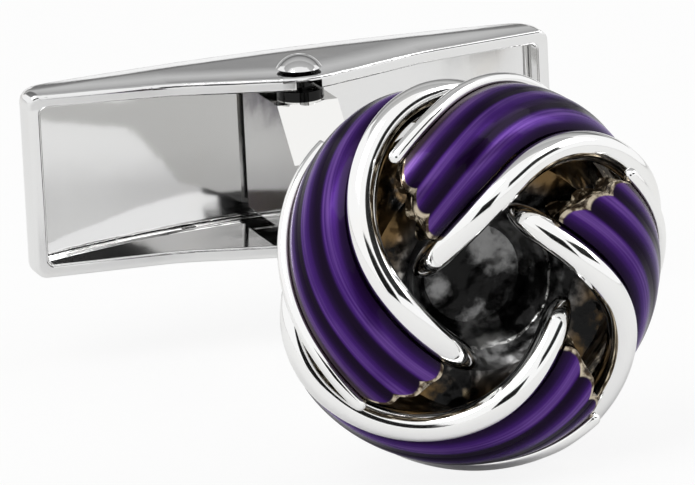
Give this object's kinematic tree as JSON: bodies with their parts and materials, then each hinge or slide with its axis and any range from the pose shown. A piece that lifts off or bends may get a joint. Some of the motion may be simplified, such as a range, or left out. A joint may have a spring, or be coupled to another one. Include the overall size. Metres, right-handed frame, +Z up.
{
  "type": "cufflink",
  "caption": "Domed cufflink of interlaced purple enamelled straps with polished beads, on a T-shaped post with a swivelling tray-shaped toggle that holds it in a shirt cuff.",
  "frame": {"origin": "centre of the knot's flat back, where it lies on the outside of the cuff", "axes": "+Y along the post from the knot to the toggle, X along the toggle when it stands across the post, +Z up along the rivet that the toggle turns on"},
  "size_m": [0.0208, 0.0264, 0.0146],
  "materials": {
    "polished_metal": "mirror polished",
    "strap_metal": "bright, fluted",
    "enamel": "glossy, translucent",
    "blackened_metal": "oxidised"
  },
  "bodies": {
    "knot": {"strap_band_1": "strap_metal", "enamel_1": "enamel", "inner_bead_1": "polished_metal", "outer_bead_1": "polished_metal", "strap_band_2": "strap_metal", "enamel_2": "enamel", "inner_bead_2": "polished_metal", "outer_bead_2": "polished_metal", "strap_band_3": "strap_metal", "enamel_3": "enamel", "inner_bead_3": "polished_metal", "outer_bead_3": "polished_metal", "strap_band_4": "strap_metal", "enamel_4": "enamel", "inner_bead_4": "polished_metal", "outer_bead_4": "polished_metal", "knot_core": "blackened_metal", "back_plate": "polished_metal", "post": "polished_metal"},
    "toggle": {"toggle_shell": "polished_metal", "toggle_rivet": "polished_metal"}
  },
  "joints": [
    {"name": "toggle_swivel", "type": "hinge", "parent": "knot", "child": "toggle", "pos_m": [0, 0.0159, 0], "axis": [0, 0, 1], "range_deg": [-90, 90]}
  ]
}
